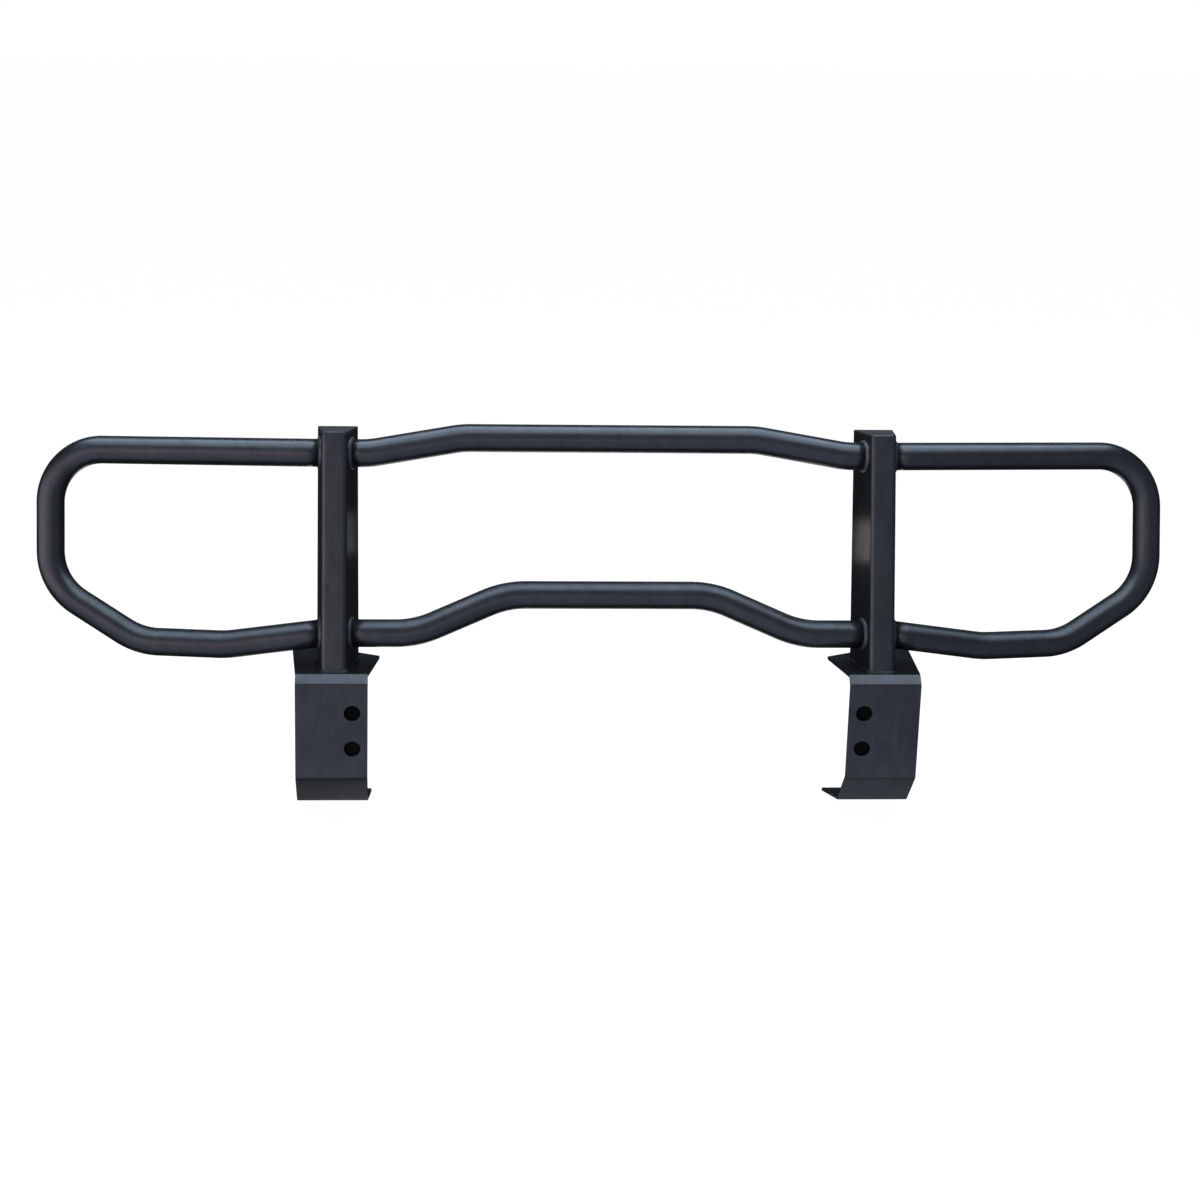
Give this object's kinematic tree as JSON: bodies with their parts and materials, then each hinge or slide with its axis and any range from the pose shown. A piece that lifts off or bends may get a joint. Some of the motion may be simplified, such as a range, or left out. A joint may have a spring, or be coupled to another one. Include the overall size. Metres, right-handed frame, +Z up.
{
  "type": "front grille guard",
  "caption": "Welded tube-and-plate grille guard: plate uprights on wrap-around bumper brackets, joined by centre tubes, with a closed tube loop on each side.",
  "frame": {"origin": "mid-plane of the guard, middle of its depth, at the height of the brackets' lowest edge", "axes": "+X to the right as seen from in front of the guard, +Y back towards the vehicle, +Z up. Left and right in node and mount names are as seen from in front."},
  "size_m": [1.7426, 0.2394, 0.6109],
  "materials": {
    "coated_plate": "satin black powder coat on bent plate",
    "coated_tube": "satin black powder coat on tube",
    "coated_weld": "satin black powder coat over a weld bead",
    "bumper_pad": "matt black"
  },
  "bodies": {
    "root": {"left_upright": "coated_plate", "right_upright": "coated_plate", "left_upright_cap": "coated_plate", "right_upright_cap": "coated_plate", "left_bracket": "coated_plate", "right_bracket": "coated_plate", "left_bumper_pad": "bumper_pad", "right_bumper_pad": "bumper_pad", "upper_centre_tube": "coated_tube", "lower_centre_tube": "coated_tube", "left_side_loop": "coated_tube", "right_side_loop": "coated_tube", "left_upper_inner_weld": "coated_weld", "left_upper_outer_weld": "coated_weld", "left_lower_inner_weld": "coated_weld", "left_lower_outer_weld": "coated_weld", "right_upper_inner_weld": "coated_weld", "right_upper_outer_weld": "coated_weld", "right_lower_inner_weld": "coated_weld", "right_lower_outer_weld": "coated_weld", "left_foot_weld": "coated_weld", "right_foot_weld": "coated_weld"}
  },
  "joints": []
}
